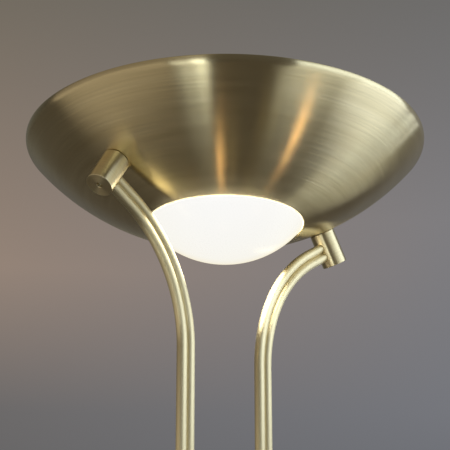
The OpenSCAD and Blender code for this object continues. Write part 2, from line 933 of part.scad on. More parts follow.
// Sheet bridge whose narrower end tabs are clamped by the knobs' studs
module lamp_bridge() {
    along = [cos(knob_slope), sin(knob_slope)];
    root = knob_at + tab_in * knob_dir;
    tip = root + tab_half * along;
    top = tip - bridge_t * knob_dir;
    level = bridge_z - rim_z;
    bend_x = root[0] + (level - root[1]) / tan(knob_slope);
    bend_top_x = bend_x - bridge_t * tan(knob_slope / 2);
    wide_x = bend_x - bridge_neck;
    window = [lamp_l - 2 * window_end, bridge_w - 2 * window_rim];
    color(STEEL)
        difference() {
            intersection() {
                translate([0, bridge_w / 2, rim_z])
                    rotate([90, 0, 0])
                        linear_extrude(bridge_w)
                            polygon([[bend_x, level], tip, top, [bend_top_x, level + bridge_t],
                                [-bend_top_x, level + bridge_t], [-top[0], top[1]],
                                [-tip[0], tip[1]], [-bend_x, level]]);
                translate([0, 0, opening_z])
                    linear_extrude(bowl_depth) {
                        square([2 * wide_x, bridge_w], center = true);
                        square([2 * bowl_r, tab_w], center = true);
                    }
            }
            translate([0, 0, opening_z])
                linear_extrude(bowl_depth)
                    square(window, center = true);
            for (s = [-1, 1])
                on_side(s)
                    at_knob() {
                        translate([0, 0, -bridge_rise])
                            cylinder(d = stud_d + 2 * hole_gap, h = 2 * bridge_rise);
                        translate([lead_off, 0, -bridge_rise])
                            cylinder(d = lead_hole_d + 2 * hole_gap, h = 2 * bridge_rise);
                    }
        }
}

// Ceramic holder with a round recess for the end of the linear lamp
module lamp_holder(side) {
    color(CERAMIC)
        on_side(side)
            difference() {
                translate([holder_x, -holder_w / 2, bridge_z + bridge_t])
                    union() {
                        cube([holder_t, holder_w, holder_h - shoulder_h]);
                        translate([0, shoulder_w, 0])
                            cube([holder_t, holder_w - 2 * shoulder_w, holder_h]);
                    }
                translate([holder_x - past, 0, lamp_z])
                    rotate([0, 90, 0])
                        cylinder(d = contact_d + 2 * contact_gap, h = contact_l + 2 * past);
            }
}

// Linear lamp: a quartz tube with a slimmer cap at each end
module uplight_lamp() {
    tube_half = holder_x - cap_l;
    cap_half = holder_x + contact_l;
    color(OPAL)
        translate([0, 0, lamp_z])
            rotate([0, 90, 0]) {
                translate([0, 0, -tube_half])
                    chamfered(lamp_d, 2 * tube_half, 1);
                translate([0, 0, -cap_half])
                    chamfered(contact_d, 2 * cap_half, edge);
            }
}

// Leads that start in each knob, come through the bowl beside the stud and bend over into
// the holders
module bowl_leads() {
    bend_r = 9;
    turn = bend_a;
    rise = 7;
    start = knob_at + lead_in * knob_dir - lead_off * [cos(knob_slope), sin(knob_slope)];
    end_x = start[0] - (lead_in + rise) * sin(knob_slope)
        - bend_r * (cos(knob_slope) - cos(knob_slope + turn));
    tail = end_x - holder_x - holder_t - seat_gap;
    color(BLACK)
        for (s = [-1, 1])
            on_side(s)
                translate([start[0], 0, rim_z + start[1]])
                    rotate([0, -knob_slope, 0])
                        mirror([1, 0, 0])
                            bent_pair(lead_d, 0, lead_in + rise, bend_r, turn, tail,
                                single = true);
}

// Swivel

module post_seat() {
    color(BRASS)
        difference() {
            translate([0, 0, cross_z])
                cylinder(d = fork_d, h = cross_r + seat_rise);
            translate([-fork_d, 0, cross_z])
                rotate([0, 90, 0])
                    cylinder(d = cross_d + 2 * seat_gap, h = 2 * fork_d);
            translate([0, 0, cross_z])
                cylinder(d = bolt_d + 2 * seat_gap, h = cross_d);
        }
}

// Hollow bolt up through the crosshead's wall, seat and fork, with a saddle-shaped head
module swivel_bolt() {
    bolt_foot = cross_z + cross_bore / 2 - bolt_head_t;
    bolt_top = nut_floor + run_gap + swivel_nut_h + bolt_tip;
    color(STEEL)
        difference() {
            union() {
                translate([0, 0, bolt_foot])
                    cylinder(d = bolt_d, h = bolt_top - bolt_foot);
                intersection() {
                    translate([0, 0, bolt_foot])
                        cylinder(d = bolt_head_d, h = 2 * bolt_head_t);
                    translate([-cross_d, 0, cross_z])
                        rotate([0, 90, 0])
                            cylinder(d = cross_bore - 2 * seat_gap, h = 2 * cross_d);
                }
            }
            translate([0, 0, cross_z])
                cylinder(d = bolt_bore_d, h = 4 * cross_d);
        }
}

module swivel_washer() {
    color(BLACK)
        translate([0, 0, seat_top + run_gap])
            ring(fork_d - 2 * edge, bolt_d + 2 * hole_gap, swivel_washer_t);
}

// Round nut with a driver's slot across its top
module swivel_nut() {
    color(STEEL)
        translate([0, 0, nut_floor + run_gap])
            difference() {
                ring(swivel_nut_d, bolt_d + 2 * pin_clear, swivel_nut_h);
                translate([-swivel_nut_d, -edge, swivel_nut_h - edge])
                    cube([2 * swivel_nut_d, 2 * edge, past]);
            }
}

// Turned fork, drawn with its hinge at the origin and its base below
module fork_body(base_l) {
    difference() {
        translate([0, 0, -base_l])
            turned_rod(fork_d, base_l + ear_top, ear_round);
        translate([-slot_w / 2, -fork_d, -slot_floor])
            cube([slot_w, 2 * fork_d, fork_d * 2]);
        rotate([0, 90, 0])
            cylinder(d = pin_d + 2 * press_gap, h = 2 * fork_d, center = true);
        for (s = [0, 180])
            rotate([0, 0, s])
                translate([pin_half - pin_head_t, 0, 0])
                    rotate([0, 90, 0])
                        cylinder(d = pin_head_d + 2 * seat_gap, h = fork_d);
    }
}

// Headed pin along X through a fork and the eye between its ears
module hinge_pin() {
    rotate([0, 90, 0]) {
        translate([0, 0, -pin_half])
            cylinder(d = pin_d, h = 2 * pin_half);
        for (s = [0, 180])
            rotate([s, 0, 0])
                translate([0, 0, pin_half - pin_head_t + seat_gap])
                    cylinder(d = pin_head_d, h = pin_head_t - seat_gap);
    }
}

module hinge_washers() {
    for (s = [0, 180])
        rotate([0, 0, s])
            translate([eye_w / 2 + run_gap, 0, 0])
                rotate([0, 90, 0])
                    ring(eye_d - 2 * edge, pin_d + 2 * hole_gap, washer_t);
}

module eye() {
    difference() {
        translate([-eye_w / 2, 0, 0])
            rotate([0, 90, 0])
                chamfered(eye_d, eye_w, edge);
        rotate([0, 90, 0])
            cylinder(d = pin_d + 2 * pin_clear, h = 2 * eye_w, center = true);
    }
}

module at_hinge() {
    translate([0, 0, hinge_z])
        children();
}

module at_head() {
    translate([0, -reach, hinge_z + lift])
        rotate([-head_lean, 0, 0])
            children();
}

module swivel_fork() {
    color(BRASS)
        difference() {
            at_hinge()
                fork_body(post_l);
            translate([0, 0, fork_foot - past])
                cylinder(d = bolt_d + 2 * pin_clear, h = post_l);
            translate([0, 0, nut_floor])
                cylinder(d = swivel_nut_d + 2 * hole_gap, h = hinge_z - nut_floor);
        }
}

module tilt_pin() {
    color(STEEL)
        at_hinge()
            hinge_pin();
}

module tilt_washers() {
    color(BLACK)
        at_hinge()
            hinge_washers();
}

// Reading arm

module inner_eye() {
    color(BRASS)
        at_hinge()
            eye();
}

module reading_tubes() {
    color(BRASS)
        difference() {
            at_hinge()
                rotate([90 - arm_rise_a, 0, 0])
                    rotate([0, 0, -90])
                        bent_tubes(arm_tube_d, arm_tube_wall, arm_pitch, arm_rise_l,
                            reading_bend_r, arm_rise_a + arm_drop_a, arm_drop_l);
            at_hinge()
                rotate([0, 90, 0])
                    cylinder(d = eye_d + 2 * seat_gap, h = 2 * eye_w, center = true);
            translate([0, -reach, hinge_z + lift])
                rotate([0, 90, 0])
                    cylinder(d = eye_d + 2 * seat_gap, h = 2 * eye_w, center = true);
        }
}

module outer_eye() {
    color(BRASS)
        at_head()
            eye();
}

// Reading head

module head_fork() {
    color(BRASS)
        at_head()
            difference() {
                fork_body(neck_l);
                translate([0, 0, -neck_l - past])
                    cylinder(d = head_screw_d + 2 * pin_clear, h = screw_grip + 3 * past);
            }
}

module head_pin() {
    color(STEEL)
        at_head()
            hinge_pin();
}

module head_washers() {
    color(BLACK)
        at_head()
            hinge_washers();
}

// Shade: a spun bowl, mouth down, closed at the crown under the fork
module reading_shade() {
    color(BRASS)
        at_head()
            translate([0, 0, -head_z])
                mirror([0, 0, 1])
                    difference() {
                        rotate_extrude() {
                            spun_wall(head_r, head_depth, head_crown_r, head_wall,
                                head_body_r, head_rim_r, head_lip);
                            translate([0, -head_depth])
                                square([head_crown_r + edge, head_wall]);
                        }
                        translate([0, 0, -head_depth - past])
                            cylinder(d = head_screw_d + 2 * hole_gap, h = head_depth);
                    }
}

module head_screw() {
    under = bracket_z + bracket_t + seat_gap + screw_head_t;
    slot = 1;
    color(STEEL)
        at_head()
            translate([0, 0, -under])
                difference() {
                    union() {
                        cylinder(d = screw_head_d, h = screw_head_t);
                        cylinder(d = head_screw_d, h = under - neck_l + screw_grip);
                    }
                    translate([-screw_head_d, -slot / 2, -past])
                        cube([2 * screw_head_d, slot, past + slot]);
                }
}

// Dished sheet bracket inside the shade's crown, with two cheeks for the ceramic socket
module head_bracket() {
    color(STEEL)
        at_head()
            translate([0, 0, -bracket_z - bracket_t])
                difference() {
                    union() {
                        cylinder(r = bracket_r, h = bracket_t);
                        for (s = [0, 180])
                            rotate([0, 0, s])
                                translate([socket_d / 2 + seat_gap, -cheek_w / 2, -cheek_l])
                                    cube([bracket_t, cheek_w, cheek_l + bracket_t]);
                    }
                    translate([0, 0, -past])
                        cylinder(d = head_screw_d + 2 * hole_gap, h = bracket_t + 2 * past);
                }
}

module reading_holder() {
    color(CERAMIC)
        at_head()
            translate([0, 0, -socket_top - socket_l])
                difference() {
                    chamfered(socket_d, socket_l, 2 * edge);
                    translate([0, 0, -past])
                        cylinder(d = socket_bore_d, h = socket_bore_l + past);
                }
}

// Capsule lamp whose slimmer foot plugs into the holder
module reading_lamp() {
    foot_d = socket_bore_d - 2 * hole_gap;
    color(OPAL)
        at_head()
            translate([0, 0, -socket_top - socket_l]) {
                translate([0, 0, -past])
                    cylinder(d = foot_d, h = socket_bore_l - hole_gap + past);
                mirror([0, 0, 1])
                    turned_rod(capsule_d, capsule_l, capsule_d / 2 - edge);
            }
}

module reading_glass() {
    color(OPAL)
        at_head()
            translate([0, 0, -head_z - seat_gap])
                opal_dome(glass_r, head_glass_drop, head_glass_wall, glass_neck,
                    glass_r + glass_rim_w, glass_rim_t);
}

// Ring in the shade's mouth that holds the glass by its flange
module head_bezel() {
    color(BRASS)
        at_head()
            translate([0, 0, -head_z])
                difference() {
                    translate([0, 0, -bezel_foot])
                        cylinder(r = bezel_r, h = bezel_foot + bezel_top);
                    cylinder(r = glass_r + glass_gap, h = 3 * bezel_top, center = true);
                    translate([0, 0, bezel_step])
                        cylinder(r = glass_r + glass_rim_w + glass_gap, h = bezel_top);
                }
}

base_pad();
base_weight();
base_cover();
cord_gland();
foot_ferrule(-1);  // foot_ferrule_left
foot_ferrule(1);  // foot_ferrule_right
base_washers();
base_nuts();
lower_pole(-1);  // lower_pole_left
lower_pole(1);  // lower_pole_right
crosshead_tube();
pole_block(-1);  // pole_block_left
pole_block(1);  // pole_block_right
pole_set_screws();
dimmer(-1);  // uplight_dimmer
dimmer(1);  // reading_dimmer
end_bush(-1);  // end_bush_left
end_bush(1);  // end_bush_right
dimmer_shaft(-1);  // uplight_shaft
dial(-1);  // uplight_dial
dimmer_shaft(1);  // reading_shaft
dial(1);  // reading_dial
upper_arm(-1);  // upper_arm_left
upper_arm(1);  // upper_arm_right
arm_leads();
bowl_knob(-1);  // bowl_knob_left
bowl_knob(1);  // bowl_knob_right
knob_studs();
knob_washers();
knob_nuts();
uplight_bowl();
uplight_glass();
glass_clips();
lamp_bridge();
lamp_holder(-1);  // lamp_holder_left
lamp_holder(1);  // lamp_holder_right
uplight_lamp();
bowl_leads();
post_seat();
swivel_bolt();
swivel_washer();
swivel_nut();
swivel_fork();
tilt_pin();
tilt_washers();
inner_eye();
reading_tubes();
outer_eye();
head_fork();
head_pin();
head_washers();
head_screw();
reading_shade();
head_bracket();
reading_holder();
reading_lamp();
reading_glass();
head_bezel();
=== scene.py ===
"""Floor lamp with reading light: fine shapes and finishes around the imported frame."""

import math

import bmesh
import bpy
from mathutils import Matrix, Vector


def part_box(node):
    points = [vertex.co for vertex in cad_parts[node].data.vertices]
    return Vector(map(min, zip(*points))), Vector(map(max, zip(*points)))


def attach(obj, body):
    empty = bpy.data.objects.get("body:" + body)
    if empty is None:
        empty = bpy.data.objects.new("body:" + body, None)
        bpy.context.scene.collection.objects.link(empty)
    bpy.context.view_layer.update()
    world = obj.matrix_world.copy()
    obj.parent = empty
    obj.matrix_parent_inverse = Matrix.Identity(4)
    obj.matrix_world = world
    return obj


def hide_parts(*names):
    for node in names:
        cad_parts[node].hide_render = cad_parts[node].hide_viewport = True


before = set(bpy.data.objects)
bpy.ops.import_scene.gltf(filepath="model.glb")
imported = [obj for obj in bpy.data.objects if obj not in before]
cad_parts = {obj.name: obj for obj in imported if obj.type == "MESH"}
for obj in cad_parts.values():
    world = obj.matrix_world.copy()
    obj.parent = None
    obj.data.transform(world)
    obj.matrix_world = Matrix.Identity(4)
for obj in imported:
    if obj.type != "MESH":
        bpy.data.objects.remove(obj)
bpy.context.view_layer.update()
MM = 0.001

# Driving sizes that the frame's boxes don't give, in metres: the bowl and its glass
BOWL_WALL = 1.2 * MM
BOWL_BODY_R = 205 * MM
BOWL_RIM_R = 8 * MM
BOWL_LIP = 1.5 * MM
OPENING_R = 62 * MM
GLASS_WALL = 3 * MM
GLASS_DROP = 28.5 * MM
GLASS_FLANGE = 5 * MM

# The knobs, arms and poles. The arms meet the knobs at ARM_SEAT from their outer ends.
KNOB_R = 10.5 * MM
KNOB_L = 29 * MM
KNOB_BORE_R = 2.05 * MM
KNOB_EDGE_R = 0.45 * MM
KNOB_LIFT = 0.1 * MM
KNOB_SLOPE = math.radians(32)
ARM_SEAT = 13.4 * MM
ARM_SINK = 0.6 * MM
ARM_BEND_R = 124 * MM
TUBE_R = 4 * MM
TUBE_PITCH = 7.7 * MM
POLE_X = 40.5 * MM

# The reading arm
READING_TUBE_R = 3 * MM
READING_TUBE_PITCH = 5.7 * MM
READING_BEND_R = 110 * MM
READING_RISE = math.radians(40)
READING_RISE_L = 130 * MM
READING_DROP_L = 70 * MM
EYE_R = 9 * MM
EYE_SINK = 0.3 * MM

# The reading head
HEAD_NECK = 27.1 * MM
HEAD_LEAN = math.radians(15)
SHADE_R = 55 * MM
SHADE_WALL = 1 * MM
SHADE_BODY_R = 80 * MM
SHADE_RIM_R = 8 * MM
SHADE_LIP = 2.5 * MM
SHADE_DEPTH = 44 * MM
SHADE_CROWN_R = 9 * MM
SHADE_HOLE_R = 2.2 * MM
READING_GLASS_R = 49 * MM
READING_GLASS_WALL = 2.5 * MM
READING_GLASS_DROP = 12 * MM
READING_GLASS_NECK = 1.6 * MM
READING_GLASS_FLANGE = 2 * MM
READING_GLASS_GAP = 0.1 * MM

# The base
BASE_DOME_R = 760 * MM
BASE_EDGE_R = 11 * MM
BASE_H = 36 * MM
BASE_WALL = 1.2 * MM

# Steps that each stretch of a section or a path is divided into
BOWL_STEPS = 72
SHADE_STEPS = 40
RIM_STEPS = 16
LIP_STEPS = 8
DOME_STEPS = 40
CORNER_STEPS = 5
BASE_DOME_STEPS = 60
BASE_EDGE_STEPS = 24
BEND_STEPS = 48
RUN_IN_STEPS = 6
RUN_OUT_STEPS = 4
POLE_STEPS = 12

# A section's point with a smaller radius than this lies on the axis
ON_AXIS = 1e-6

# Distance of a support point from the end of a corner's arc, as a share of the arc's radius
SUPPORT = 0.4


def new_object(name, data):
    item = bpy.data.objects.new(name, data)
    bpy.context.scene.collection.objects.link(item)
    return item


# Camera, at the photograph's viewing angle

CAMERA_PLACE = (-0.7583, -0.8069, 1.3043)
CAMERA_LOOK = Vector((0.63896, 0.68002, 0.35960))
CAMERA_ROLL = math.radians(-0.048)
CAMERA_LENS = 119.71
CAMERA_SENSOR = 36


def add_camera():
    data = bpy.data.cameras.new("camera")
    data.lens = CAMERA_LENS
    data.sensor_width = CAMERA_SENSOR
    camera = new_object("camera", data)
    turn = CAMERA_LOOK.normalized().to_track_quat("-Z", "Y").to_matrix().to_4x4()
    turn = turn @ Matrix.Rotation(CAMERA_ROLL, 4, "Z")
    camera.matrix_world = Matrix.Translation(CAMERA_PLACE) @ turn
    bpy.context.scene.camera = camera


# Sections and turned meshes


def arc(centre, radius, start, end, steps):
    """Points on an arc in a section, angles in radians from +r towards +z."""
    points = []
    for i in range(steps + 1):
        a = start + (end - start) * i / steps
        points.append((centre[0] + radius * math.cos(a), centre[1] + radius * math.sin(a)))
    return points


def rounded(corners, radius):
    """Closed section with rounded corners, and a support point before and after each one."""
    points = []
    support = SUPPORT * radius
    for i, corner in enumerate(corners):
        here = Vector(corner)
        back = Vector(corners[i - 1]) - here
        ahead = Vector(corners[(i + 1) % len(corners)]) - here
        half = back.angle(ahead) / 2
        reach = radius / math.tan(half)
        back_dir, ahead_dir = back.normalized(), ahead.normalized()
        centre = here + (back_dir + ahead_dir).normalized() * (radius / math.sin(half))
        first = here + back_dir * reach - centre
        last = here + ahead_dir * reach - centre
        sweep = first.angle_signed(last)
        points.append(tuple(here + back_dir * (reach + support)))
        for k in range(CORNER_STEPS + 1):
            turn = Matrix.Rotation(-sweep * k / CORNER_STEPS, 2)
            points.append(tuple(centre + turn @ first))
        points.append(tuple(here + ahead_dir * (reach + support)))
    return points


def body_centre(radius, depth, open_r, body_r, rim_r):
    """Centre of a spun bowl's long arc, from its opening's edge to its join with the rim arc."""
    dx = radius - rim_r - open_r
    reach = math.hypot(dx, depth)
    a = (body_r**2 - (body_r - rim_r) ** 2 + reach**2) / (2 * reach)
    h = math.sqrt(body_r**2 - a * a)
    return open_r + (a * dx - h * depth) / reach, -depth + (a * depth + h * dx) / reach


def spun_section(radius, depth, open_r, wall, body_r, rim_r, lip, steps):
    """Closed section of a spun bowl's wall: long arc, rim arc and rounded lip, rim level 0."""
    centre = body_centre(radius, depth, open_r, body_r, rim_r)
    rim = (radius - rim_r, 0.0)
    open_a = math.atan2(-depth - centre[1], open_r - centre[0])
    join_a = math.atan2(-centre[1], rim[0] - centre[0])
    lip_a = math.asin(lip / rim_r)
    lip_c = (rim[0] + (rim_r - wall / 2) * math.cos(lip_a), (rim_r - wall / 2) * math.sin(lip_a))
    outer = arc(centre, body_r, open_a, join_a, steps)
    outer += arc(rim, rim_r, join_a, lip_a, RIM_STEPS)[1:]
    edge = arc(lip_c, wall / 2, lip_a, lip_a + math.pi, LIP_STEPS)[1:-1]
    inner = arc(rim, rim_r - wall, lip_a, join_a, RIM_STEPS)
    inner += arc(centre, body_r - wall, join_a, open_a, steps // 2)[1:]
    return outer + edge + inner


def dome_section(flange_r, flange, drop, wall, neck):
    """Closed section of an opal dome: cap, neck and flange, the opening's level at 0."""
    radius = flange_r - flange
    cap_r = (radius**2 + drop**2) / (2 * drop)
    centre = (0.0, cap_r - drop)
    edge_a = math.asin(radius / cap_r)
    outer = arc(centre, cap_r, -math.pi / 2, -math.pi / 2 + edge_a, DOME_STEPS)
    inner_r = cap_r - wall
    inner_a = math.asin((radius - wall) / inner_r)
    inner = arc(centre, inner_r, -math.pi / 2 + inner_a, -math.pi / 2, DOME_STEPS // 2)
    top = neck + wall
    return outer + [(radius, neck), (flange_r, neck), (flange_r, top), (radius - wall, top)] + inner


def finish_mesh(name, verts, faces, corner_grain, place, material):
    """Mesh object with a UV map and a grain attribute whose last part runs across the lines."""
    mesh = bpy.data.meshes.new(name)
    mesh.from_pydata([place @ Vector(v) for v in verts], [], faces)
    mesh.uv_layers.new(name="UVMap")
    mesh.attributes.new("grain", "FLOAT_VECTOR", "CORNER")
    # Both layers are looked up again, since adding one moves the other
    mesh.attributes["grain"].data.foreach_set(
        "vector", [part for corner in corner_grain for part in corner[:3]])
    mesh.uv_layers["UVMap"].data.foreach_set(
        "uv", [part for corner in corner_grain for part in corner[2:]])
    work = bmesh.new()
    work.from_mesh(mesh)
    bmesh.ops.recalc_face_normals(work, faces=work.faces)
    work.to_mesh(mesh)
    work.free()
    mesh.shade_smooth()
    mesh.materials.append(material)
    return new_object(name, mesh)


def lathe(name, section, material, place, sides):
    """Turns a closed section of (radius, height) points about +Z."""
    verts, rows, faces, grain = [], [], [], []
    for radius, height in section:
        if radius < ON_AXIS:
            rows.append([len(verts)] * sides)
            verts.append((0, 0, height))
            continue
        rows.append(list(range(len(verts), len(verts) + sides)))
        for k in range(sides):
            a = 2 * math.pi * k / sides
            verts.append((radius * math.cos(a), radius * math.sin(a), height))
    along = 0.0
    for i, point in enumerate(section):
        j = (i + 1) % len(section)
        step = math.dist(point, section[j])
        if point[0] < ON_AXIS and section[j][0] < ON_AXIS:
            continue
        for k in range(sides):
            m = (k + 1) % sides
            corners = [(i, k, along), (j, k, along + step), (j, m, along + step), (i, m, along)]
            if section[j][0] < ON_AXIS:
                corners.pop(2)
            elif point[0] < ON_AXIS:
                corners.pop(3)
            faces.append([rows[row][col] for row, col, _ in corners])
            for row, col, distance in corners:
                a = 2 * math.pi * col / sides
                turn = k / sides if col == k else (k + 1) / sides
                radius = section[row][0]
                grain.append((radius * math.cos(a), radius * math.sin(a), distance, turn))
        along += step
    return finish_mesh(name, verts, faces, grain, place, material)


# Node helpers. A colour is given as three parts.


def set_inputs(tree, node, inputs):
    """Links each input to a socket, or gives it a value."""
    for key, value in inputs.items():
        socket = node.inputs[key]
        if isinstance(value, bpy.types.NodeSocket):
            tree.links.new(value, socket)
        elif socket.type == "RGBA":
            socket.default_value = (*value, 1)
        else:
            socket.default_value = value


def add_node(tree, kind, inputs=None, **settings):
    node = tree.nodes.new(kind)
    for key, value in settings.items():
        setattr(node, key, value)
    set_inputs(tree, node, inputs or {})
    return node


def new_material(name):
    material = bpy.data.materials.new(name)
    material.use_nodes = True
    tree = material.node_tree
    return material, tree, tree.nodes["Principled BSDF"]


def add_sockets(group, in_out, **kinds):
    for name, kind in kinds.items():
        group.interface.new_socket(name, in_out=in_out, socket_type="NodeSocket" + kind)


def object_place(tree):
    return add_node(tree, "ShaderNodeTexCoord").outputs["Object"]


def noise(tree, where, scale, detail, roughness=0.5):
    node = add_node(tree, "ShaderNodeTexNoise", {"Vector": where, "Scale": scale,
                                                 "Detail": detail, "Roughness": roughness})
    return node.outputs["Fac"]


def carry(tree, value, least, most, start=0.0, end=1.0):
    """Carries a value between start and end to the range from least to most."""
    node = add_node(tree, "ShaderNodeMapRange", {"Value": value, "From Min": start,
                                                 "From Max": end, "To Min": least,
                                                 "To Max": most})
    return node.outputs["Result"]


def mix_colour(tree, factor, first, second, blend="MIX"):
    node = add_node(tree, "ShaderNodeMix", {"Factor": factor, "A": first, "B": second},
                    data_type="RGBA", blend_type=blend)
    return node.outputs["Result"]


def relief(tree, height, strength, depth):
    node = add_node(tree, "ShaderNodeBump", {"Strength": strength, "Distance": depth,
                                             "Height": height})
    return node.outputs["Normal"]


def ramp(tree, factor, stops):
    node = add_node(tree, "ShaderNodeValToRGB", {"Fac": factor})
    elements = node.color_ramp.elements
    while len(elements) < len(stops):
        elements.new(0.5)
    for element, (position, colour) in zip(elements, stops):
        element.position = position
        element.color = (*colour, 1)
    return node.outputs["Color"]


# Effects that several finishes share. The slow tone's pattern is the lines' own, scaled down.

SLOW_TONE = (0.4, 0.4, 0.12)


def brush_group():
    """Fine lines across the grain's last part, with slow changes of tone along them."""
    group = bpy.data.node_groups.new("brush_lines", "ShaderNodeTree")
    add_sockets(group, "INPUT", Grain="Vector", Fineness="Float", Run="Float")
    add_sockets(group, "OUTPUT", Lines="Float", Tone="Float")
    source = group.nodes.new("NodeGroupInput").outputs
    sink = group.nodes.new("NodeGroupOutput")
    scale = add_node(group, "ShaderNodeCombineXYZ", {0: source["Run"], 1: source["Run"],
                                                     2: source["Fineness"]})
    place = add_node(group, "ShaderNodeVectorMath", {0: source["Grain"], 1: scale.outputs[0]},
                     operation="MULTIPLY")
    slow = add_node(group, "ShaderNodeVectorMath", {0: place.outputs[0], 1: SLOW_TONE},
                    operation="MULTIPLY")
    lines = noise(group, place.outputs[0], scale=1.0, detail=3.0, roughness=0.6)
    tone = noise(group, slow.outputs[0], scale=1.0, detail=2.0)
    set_inputs(group, sink, {"Lines": lines, "Tone": tone})
    return group


def smudge_group():
    """Soft cloudy mask of handling marks on a polished surface."""
    group = bpy.data.node_groups.new("handling_marks", "ShaderNodeTree")
    add_sockets(group, "INPUT", Scale="Float")
    add_sockets(group, "OUTPUT", Mask="Float")
    source = group.nodes.new("NodeGroupInput").outputs
    sink = group.nodes.new("NodeGroupOutput")
    clouds = noise(group, object_place(group), source["Scale"], detail=4.0, roughness=0.55)
    mask = carry(group, clouds, least=0.0, most=1.0, start=0.42, end=0.68)
    set_inputs(group, sink, {"Mask": mask})
    return group


BRUSH = brush_group()
SMUDGE = smudge_group()

# Finishes

BRASS_DARK = (0.60, 0.50, 0.285)
BRASS_LIGHT = (0.76, 0.665, 0.43)
BRUSH_DEPTH = 0.03 * MM
BRUSH_GLOSS = 0.03
SMUDGE_SCALE = 26.0
SMUDGE_GLOSS = 0.012
GRAIN_DEPTH = 0.2 * MM
GRAIN_GLOSS = 0.06
CLOUDS_PER_GRAIN = 1 / 12

# Opal glass as the camera sees it from face on to its edge, and the light that it casts
OPAL_SEEN = [(0.0, (0.935, 0.93, 0.915)), (0.55, (0.925, 0.905, 0.835)),
             (1.0, (0.86, 0.76, 0.52))]
OPAL_CAST = (6.2, 6.0, 5.3)
OPAL_BODY = (0.04, 0.04, 0.038)


def brass(name, grain, anisotropy, roughness, fineness, run, bump, streaks=0.07):
    """Satin brass with brushed lines. grain is attribute, or the axis of a turned CAD piece."""
    material, tree, shader = new_material(name)
    if grain == "attribute":
        source = add_node(tree, "ShaderNodeAttribute", attribute_name="grain").outputs["Vector"]
        tangent = add_node(tree, "ShaderNodeTangent", direction_type="UV_MAP", uv_map="UVMap")
        set_inputs(tree, shader, {"Tangent": tangent.outputs[0]})
    else:
        turn = {"X": math.radians(-90), "Z": 0}[grain]
        source = add_node(tree, "ShaderNodeMapping", {"Vector": object_place(tree),
                                                      "Rotation": (0, turn, 0)}).outputs[0]
    brush = add_node(tree, "ShaderNodeGroup",
                     {"Grain": source, "Fineness": fineness, "Run": run}, node_tree=BRUSH)
    marks = add_node(tree, "ShaderNodeGroup", {"Scale": SMUDGE_SCALE}, node_tree=SMUDGE)
    lines = brush.outputs["Lines"]
    tone = mix_colour(tree, brush.outputs["Tone"], BRASS_DARK, BRASS_LIGHT)
    streak = carry(tree, lines, 1 - streaks, 1 + streaks, start=0.34, end=0.66)
    rough = carry(tree, lines, roughness - BRUSH_GLOSS, roughness + BRUSH_GLOSS)
    worn = add_node(tree, "ShaderNodeMath", {0: marks.outputs["Mask"], 1: SMUDGE_GLOSS, 2: rough},
                    operation="MULTIPLY_ADD")
    set_inputs(tree, shader, {"Base Color": mix_colour(tree, 1.0, tone, streak, "MULTIPLY"),
                              "Roughness": worn.outputs[0],
                              "Normal": relief(tree, lines, bump, BRUSH_DEPTH),
                              "Metallic": 1.0, "Anisotropic": anisotropy})
    return material


def opal_glass(name, strength):
    """Lit opal glass, a little warmer and dimmer towards its edge."""
    material, tree, shader = new_material(name)
    where = object_place(tree)
    facing = add_node(tree, "ShaderNodeLayerWeight", {"Blend": 0.35}).outputs["Facing"]
    cloud = noise(tree, where, scale=9.0, detail=2.0)
    shade = carry(tree, cloud, least=0.97, most=1.02)
    seen = mix_colour(tree, 1.0, ramp(tree, facing, OPAL_SEEN), shade, "MULTIPLY")
    grain = noise(tree, where, scale=900.0, detail=2.0)
    from_camera = add_node(tree, "ShaderNodeLightPath").outputs["Is Camera Ray"]
    set_inputs(tree, shader, {"Base Color": OPAL_BODY,
                              "Roughness": carry(tree, grain, least=0.22, most=0.34),
                              "Specular IOR Level": 0.2,
                              "Emission Color": mix_colour(tree, from_camera, OPAL_CAST, seen),
                              "Emission Strength": strength})
    return material


def grained(name, dark, light, roughness, scale, bump, metallic=0.0):
    """Plain cast, moulded or plated surface with fine grain in tone, gloss and relief."""
    material, tree, shader = new_material(name)
    where = object_place(tree)
    grain = noise(tree, where, scale, detail=4.0, roughness=0.6)
    cloud = noise(tree, where, scale * CLOUDS_PER_GRAIN, detail=2.0)
    set_inputs(tree, shader, {"Base Color": mix_colour(tree, cloud, dark, light),
                              "Roughness": carry(tree, grain, roughness - GRAIN_GLOSS,
                                                 roughness + GRAIN_GLOSS),
                              "Normal": relief(tree, grain, bump, GRAIN_DEPTH),
                              "Metallic": metallic})
    return material


def lit_quartz():
    """Frosted quartz of the lamps, glowing softly."""
    material = grained("lamp_quartz", (0.8, 0.8, 0.78), (0.9, 0.9, 0.88),
                       roughness=0.25, scale=400.0, bump=0.05)
    tree = material.node_tree
    set_inputs(tree, tree.nodes["Principled BSDF"], {"Emission Color": (1.0, 0.9, 0.7),
                                                     "Emission Strength": 0.9})
    return material


bowl_brass = brass("bowl_brass", "attribute", anisotropy=1.0, roughness=0.25,
                   fineness=900.0, run=16.0, bump=0.2, streaks=0.065)
tube_brass = brass("tube_brass", "attribute", anisotropy=0.9, roughness=0.36,
                   fineness=900.0, run=4.0, bump=0.03)
turned_brass = brass("turned_brass", "attribute", anisotropy=0.8, roughness=0.33,
                     fineness=3000.0, run=30.0, bump=0.3)
fitting_brass_z = brass("fitting_brass_z", "Z", anisotropy=0.0, roughness=0.30,
                        fineness=3000.0, run=30.0, bump=0.25)
fitting_brass_x = brass("fitting_brass_x", "X", anisotropy=0.0, roughness=0.30,
                        fineness=3000.0, run=30.0, bump=0.25)
uplight_opal = opal_glass("uplight_opal", 1.0)
reading_opal = opal_glass("reading_opal", 0.85)
cast_iron = grained("cast_iron", (0.03, 0.03, 0.03), (0.06, 0.06, 0.06),
                    roughness=0.7, scale=700.0, bump=0.6)
